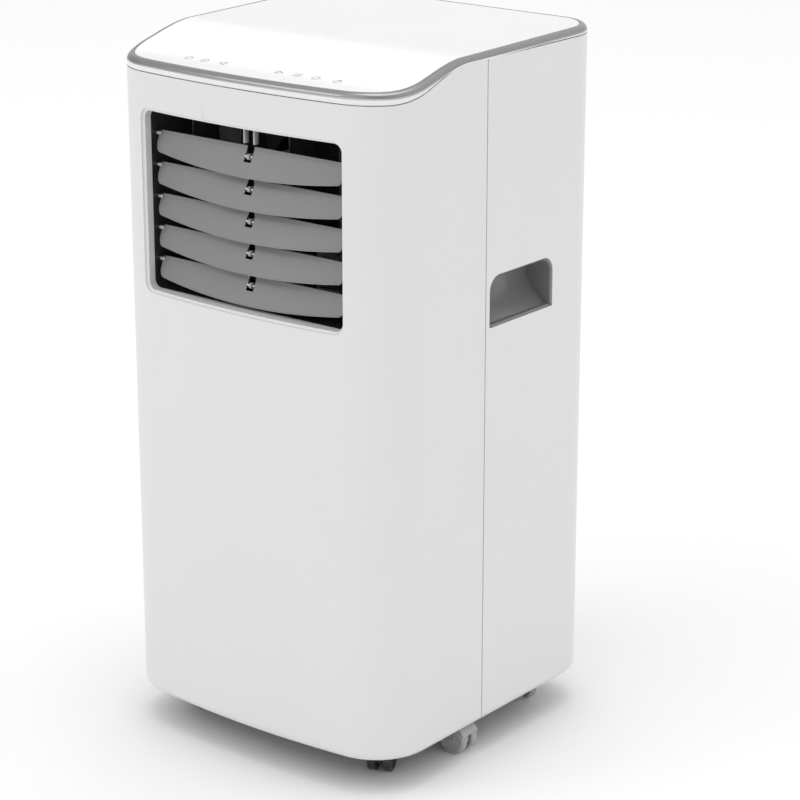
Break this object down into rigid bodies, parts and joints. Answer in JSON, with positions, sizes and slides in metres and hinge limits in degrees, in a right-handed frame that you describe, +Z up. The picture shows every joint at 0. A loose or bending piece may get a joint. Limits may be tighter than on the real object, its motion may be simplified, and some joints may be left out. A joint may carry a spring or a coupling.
{
  "type": "portable air conditioner",
  "caption": "Upright white room air conditioner on casters, with a louvred air outlet in its bowed front, a touch panel in the lid, recessed grips and a round exhaust outlet at the rear.",
  "frame": {"origin": "on the floor, at the middle of the footprint", "axes": "+Z up; the front with the air outlet faces -Y; +X is to the right of someone who looks at the front"},
  "size_m": [0.345, 0.355, 0.6999],
  "materials": {
    "casing": "white moulded plastic, light satin",
    "deck": "white, matt, finely textured",
    "panel": "bright white high gloss",
    "silver": "satin silver plating",
    "louver": "satin silver-grey paint",
    "light_grey": "light grey plastic",
    "dark_plastic": "dark grey satin plastic",
    "black_plastic": "black plastic",
    "wheel_black": "black nylon",
    "wheel_grey": "light grey nylon",
    "rubber": "black rubber",
    "foam": "white foam moulding",
    "steel": "zinc-plated steel",
    "coil": "bare aluminium fins",
    "copper": "bare copper",
    "black_paint": "black enamel",
    "board": "green circuit board"
  },
  "bodies": {
    "casing": {"base_pan": "dark_plastic", "centre_bracket": "light_grey", "compressor": "black_paint", "condenser": "coil", "control_board": "board", "control_panel": "panel", "cord_gland": "rubber", "discharge_pipe": "copper", "evaporator": "coil", "exhaust_collar": "casing", "exhaust_elbow": "foam", "front_shell": "casing", "handle_cup_left": "dark_plastic", "handle_cup_right": "dark_plastic", "lower_grille": "casing", "lower_motor": "steel", "lower_scroll": "foam", "outlet_duct": "black_plastic", "partition": "dark_plastic", "rear_shell": "casing", "side_roller_left_fork": "light_grey", "side_roller_right_fork": "light_grey", "suction_pipe": "copper", "top_deck": "deck", "top_trim": "silver", "upper_motor": "steel", "upper_scroll": "foam"},
    "louver_1": {"louver_1": "louver"},
    "louver_2": {"louver_2": "louver"},
    "louver_3": {"louver_3": "louver"},
    "louver_4": {"louver_4": "louver"},
    "louver_5": {"louver_5": "louver"},
    "louver_link": {"louver_link": "light_grey"},
    "vane_1": {"vane_1": "black_plastic"},
    "vane_2": {"vane_2": "black_plastic"},
    "vane_3": {"vane_3": "black_plastic"},
    "vane_4": {"vane_4": "black_plastic"},
    "vane_link": {"vane_link": "black_plastic"},
    "upper_blower": {"upper_blower": "black_plastic"},
    "lower_blower": {"lower_blower": "black_plastic"},
    "filter_door": {"filter_door": "casing", "air_filter": "black_plastic"},
    "drain_plug_upper": {"drain_plug_upper": "rubber"},
    "drain_plug_lower": {"drain_plug_lower": "rubber"},
    "caster_front_right": {"caster_front_right_fork": "black_plastic"},
    "caster_front_right_wheels": {"caster_front_right_wheel_inner": "wheel_black", "caster_front_right_wheel_outer": "wheel_black"},
    "caster_front_left": {"caster_front_left_fork": "black_plastic"},
    "caster_front_left_wheels": {"caster_front_left_wheel_inner": "wheel_black", "caster_front_left_wheel_outer": "wheel_black"},
    "caster_rear_right": {"caster_rear_right_fork": "light_grey"},
    "caster_rear_right_wheels": {"caster_rear_right_wheel_inner": "wheel_grey", "caster_rear_right_wheel_outer": "wheel_grey"},
    "caster_rear_left": {"caster_rear_left_fork": "light_grey"},
    "caster_rear_left_wheels": {"caster_rear_left_wheel_inner": "wheel_grey", "caster_rear_left_wheel_outer": "wheel_grey"},
    "side_roller_right_wheels": {"side_roller_right_wheel_front": "wheel_grey", "side_roller_right_wheel_back": "wheel_grey"},
    "side_roller_left_wheels": {"side_roller_left_wheel_front": "wheel_grey", "side_roller_left_wheel_back": "wheel_grey"}
  },
  "joints": [
    {"name": "louver_1_tilt", "type": "hinge", "parent": "casing", "child": "louver_1", "pos_m": [0, -0.153, 0.6065], "axis": [-1, 0, 0], "range_deg": [0, 55]},
    {"name": "louver_2_tilt", "type": "hinge", "parent": "casing", "child": "louver_2", "pos_m": [0, -0.153, 0.5759], "axis": [-1, 0, 0], "range_deg": [0, 55]},
    {"name": "louver_3_tilt", "type": "hinge", "parent": "casing", "child": "louver_3", "pos_m": [0, -0.153, 0.5453], "axis": [-1, 0, 0], "range_deg": [0, 55]},
    {"name": "louver_4_tilt", "type": "hinge", "parent": "casing", "child": "louver_4", "pos_m": [0, -0.153, 0.5147], "axis": [-1, 0, 0], "range_deg": [0, 55]},
    {"name": "louver_5_tilt", "type": "hinge", "parent": "casing", "child": "louver_5", "pos_m": [0, -0.153, 0.4841], "axis": [-1, 0, 0], "range_deg": [0, 55]},
    {"name": "louver_link_turn", "type": "hinge", "parent": "louver_1", "child": "louver_link", "pos_m": [0, -0.15566, 0.6], "axis": [-1, 0, 0], "range_deg": [-55, 0]},
    {"name": "vane_1_swing", "type": "hinge", "parent": "casing", "child": "vane_1", "pos_m": [-0.09, -0.119, 0.545], "axis": [0, 0, 1], "range_deg": [-30, 30]},
    {"name": "vane_2_swing", "type": "hinge", "parent": "casing", "child": "vane_2", "pos_m": [-0.03, -0.119, 0.545], "axis": [0, 0, 1], "range_deg": [-30, 30]},
    {"name": "vane_3_swing", "type": "hinge", "parent": "casing", "child": "vane_3", "pos_m": [0.03, -0.119, 0.545], "axis": [0, 0, 1], "range_deg": [-30, 30]},
    {"name": "vane_4_swing", "type": "hinge", "parent": "casing", "child": "vane_4", "pos_m": [0.09, -0.119, 0.545], "axis": [0, 0, 1], "range_deg": [-30, 30]},
    {"name": "vane_link_turn", "type": "hinge", "parent": "vane_1", "child": "vane_link", "pos_m": [-0.09, -0.106, 0.545], "axis": [0, 0, 1], "range_deg": [-30, 30]},
    {"name": "upper_blower_spin", "type": "hinge", "parent": "casing", "child": "upper_blower", "pos_m": [0, -0.018, 0.545], "axis": [0, 1, 0], "continuous": true},
    {"name": "lower_blower_spin", "type": "hinge", "parent": "casing", "child": "lower_blower", "pos_m": [-0.055, 0.026, 0.185], "axis": [0, 1, 0], "continuous": true},
    {"name": "filter_door_pull", "type": "slide", "parent": "casing", "child": "filter_door", "axis": [0, 1, 0], "range_m": [0, 0.05]},
    {"name": "drain_plug_upper_pull", "type": "slide", "parent": "casing", "child": "drain_plug_upper", "axis": [0, 1, 0], "range_m": [0, 0.02]},
    {"name": "drain_plug_lower_pull", "type": "slide", "parent": "casing", "child": "drain_plug_lower", "axis": [0, 1, 0], "range_m": [0, 0.02]},
    {"name": "caster_front_right_swivel", "type": "hinge", "parent": "casing", "child": "caster_front_right", "pos_m": [0.122, -0.118, 0.0325], "axis": [0, 0, 1], "continuous": true},
    {"name": "caster_front_right_roll", "type": "hinge", "parent": "caster_front_right", "child": "caster_front_right_wheels", "pos_m": [0.11862, -0.11075, 0.0145], "axis": [0.9063, 0.4226, 0], "continuous": true},
    {"name": "caster_front_left_swivel", "type": "hinge", "parent": "casing", "child": "caster_front_left", "pos_m": [-0.122, -0.118, 0.0325], "axis": [0, 0, 1], "continuous": true},
    {"name": "caster_front_left_roll", "type": "hinge", "parent": "caster_front_left", "child": "caster_front_left_wheels", "pos_m": [-0.11926, -0.11048, 0.0145], "axis": [0.9397, -0.342, 0], "continuous": true},
    {"name": "caster_rear_right_swivel", "type": "hinge", "parent": "casing", "child": "caster_rear_right", "pos_m": [0.132, 0.105, 0.0325], "axis": [0, 0, 1], "continuous": true},
    {"name": "caster_rear_right_roll", "type": "hinge", "parent": "caster_rear_right", "child": "caster_rear_right_wheels", "pos_m": [0.12448, 0.10774, 0.0145], "axis": [0.342, 0.9397, 0], "continuous": true},
    {"name": "caster_rear_left_swivel", "type": "hinge", "parent": "casing", "child": "caster_rear_left", "pos_m": [-0.132, 0.105, 0.0325], "axis": [0, 0, 1], "continuous": true},
    {"name": "caster_rear_left_roll", "type": "hinge", "parent": "caster_rear_left", "child": "caster_rear_left_wheels", "pos_m": [-0.13952, 0.10226, 0.0145], "axis": [-0.342, 0.9397, 0], "continuous": true},
    {"name": "side_roller_right_roll", "type": "hinge", "parent": "casing", "child": "side_roller_right_wheels", "pos_m": [0.15, -0.03, 0.0145], "axis": [0, 1, 0], "continuous": true},
    {"name": "side_roller_left_roll", "type": "hinge", "parent": "casing", "child": "side_roller_left_wheels", "pos_m": [-0.15, -0.03, 0.0145], "axis": [0, 1, 0], "continuous": true}
  ],
  "couplings": [
    {"joint": "louver_2_tilt", "follows": "louver_1_tilt", "ratio": 1},
    {"joint": "louver_3_tilt", "follows": "louver_1_tilt", "ratio": 1},
    {"joint": "louver_4_tilt", "follows": "louver_1_tilt", "ratio": 1},
    {"joint": "louver_5_tilt", "follows": "louver_1_tilt", "ratio": 1},
    {"joint": "louver_link_turn", "follows": "louver_1_tilt", "ratio": -1},
    {"joint": "vane_2_swing", "follows": "vane_1_swing", "ratio": 1},
    {"joint": "vane_3_swing", "follows": "vane_1_swing", "ratio": 1},
    {"joint": "vane_4_swing", "follows": "vane_1_swing", "ratio": 1},
    {"joint": "vane_link_turn", "follows": "vane_1_swing", "ratio": -1}
  ]
}
